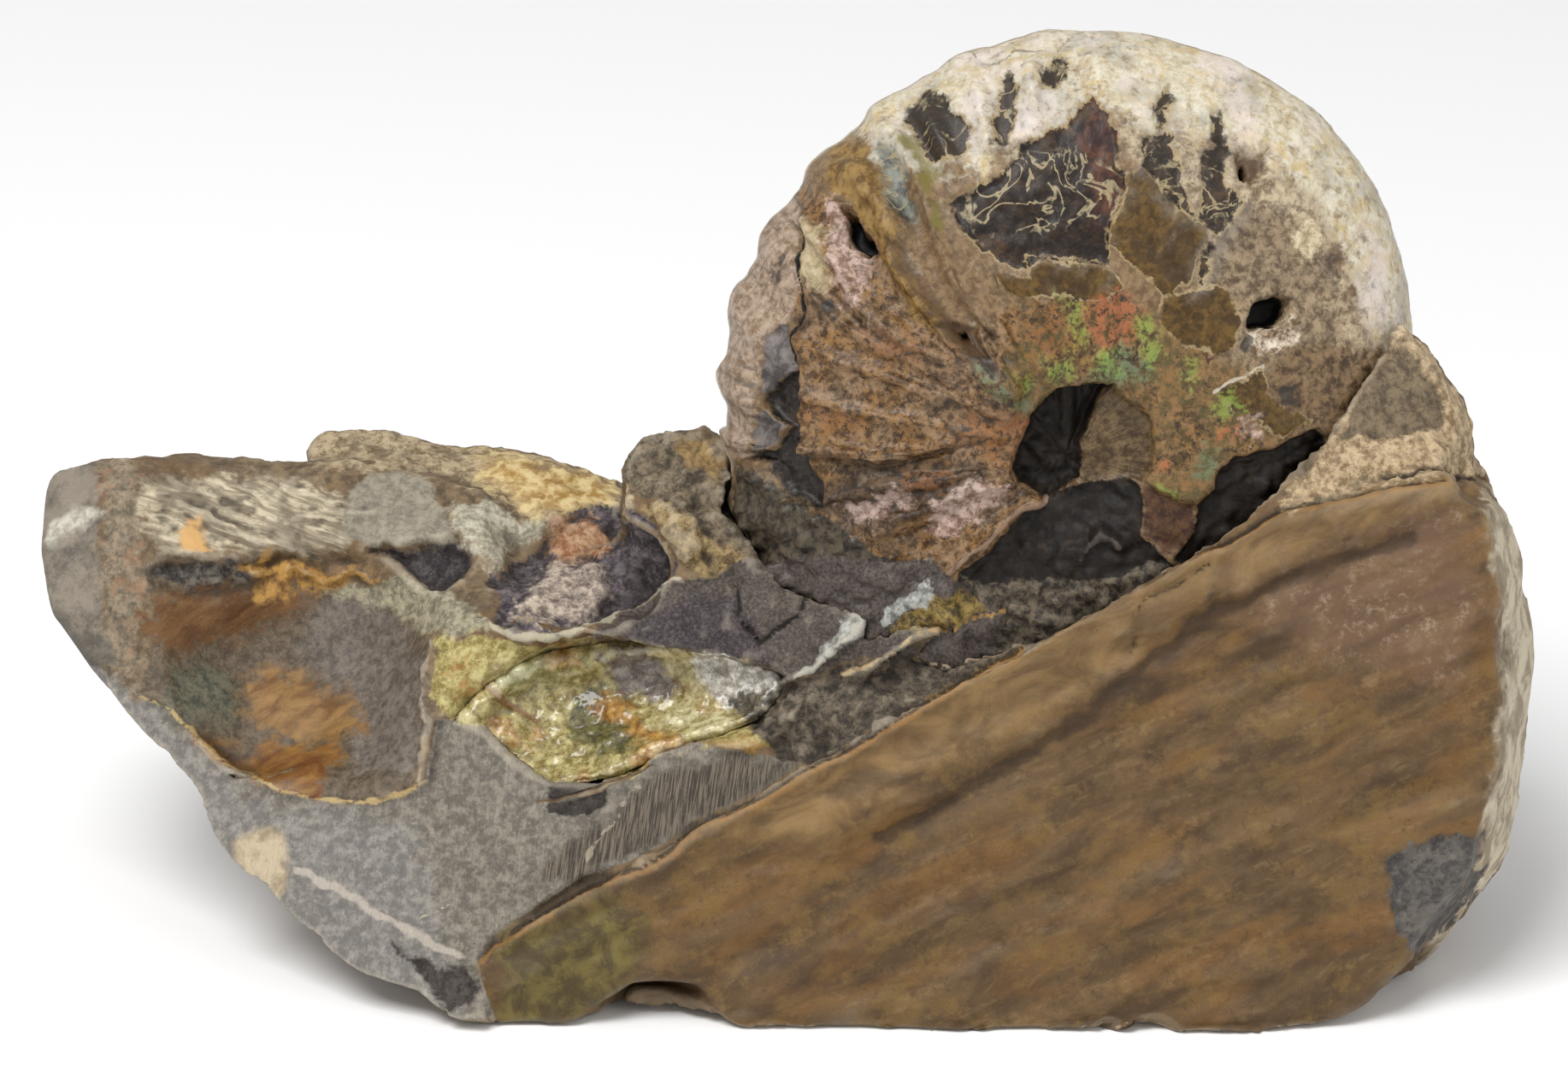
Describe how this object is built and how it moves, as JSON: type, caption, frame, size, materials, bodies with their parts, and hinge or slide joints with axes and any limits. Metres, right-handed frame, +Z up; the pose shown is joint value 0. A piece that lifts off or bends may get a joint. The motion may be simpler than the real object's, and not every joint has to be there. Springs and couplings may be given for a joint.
{
  "type": "hoploscaphites ammonite fossil in matrix",
  "caption": "Coiled, ribbed ammonite shell standing edge-on in a broken brown and grey stone, with a crust of yellow calcite in a hollow beside it.",
  "frame": {"origin": "on the floor, under the middle of the object's box", "axes": "+Z up; +X along the stone, from its thin overhanging end towards the shell; -Y is the side that shows the shell's flank"},
  "size_m": [0.1131, 0.0449, 0.0688],
  "materials": {
    "shell": "glossy shell and nacre, cream, tan and dark brown",
    "stone": "broken and sawn stone, brown and grey",
    "calcite": "glossy yellow-green crystal crust"
  },
  "bodies": {
    "root": {"ammonite": "shell", "matrix": "stone", "calcite_crust": "calcite"}
  },
  "joints": []
}
